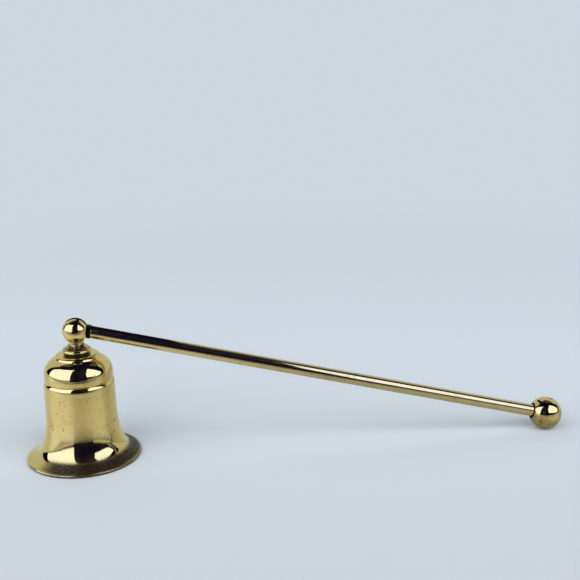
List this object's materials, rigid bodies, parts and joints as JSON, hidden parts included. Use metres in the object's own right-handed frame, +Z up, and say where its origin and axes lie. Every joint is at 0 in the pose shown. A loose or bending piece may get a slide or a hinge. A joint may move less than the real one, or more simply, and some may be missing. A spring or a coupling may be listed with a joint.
{
  "type": "candle snuffer",
  "caption": "Solid brass candle snuffer: flared bell with a domed, collared crown and a turned finial, hinged to a straight round handle that ends in a ball.",
  "frame": {"origin": "on the table, under the middle of the whole object; the bell's axis is at negative X and the knob at positive X", "axes": "+X from the bell along the handle, +Y across the object, +Z up"},
  "size_m": [0.2086, 0.0428, 0.0541],
  "materials": {
    "bell_brass": "polished, lightly aged",
    "finial_brass": "polished",
    "eye_brass": "flat, darkened where polish does not reach",
    "handle_brass": "polished, drawn rod",
    "knob_brass": "polished, lightly aged",
    "fastener_brass": "as turned"
  },
  "bodies": {
    "bell": {"bell": "bell_brass", "finial_knuckle": "finial_brass", "crown_screw": "fastener_brass", "crown_washer": "fastener_brass", "hinge_pin": "finial_brass"},
    "handle": {"hinge_eye": "eye_brass", "handle_rod": "handle_brass", "knob_stud": "fastener_brass", "end_knob": "knob_brass"}
  },
  "joints": [
    {"name": "handle_swing", "type": "hinge", "parent": "bell", "child": "handle", "pos_m": [-0.08287, 0, 0.05003], "axis": [0, -1, 0], "range_deg": [-6.42, 113.58]}
  ]
}
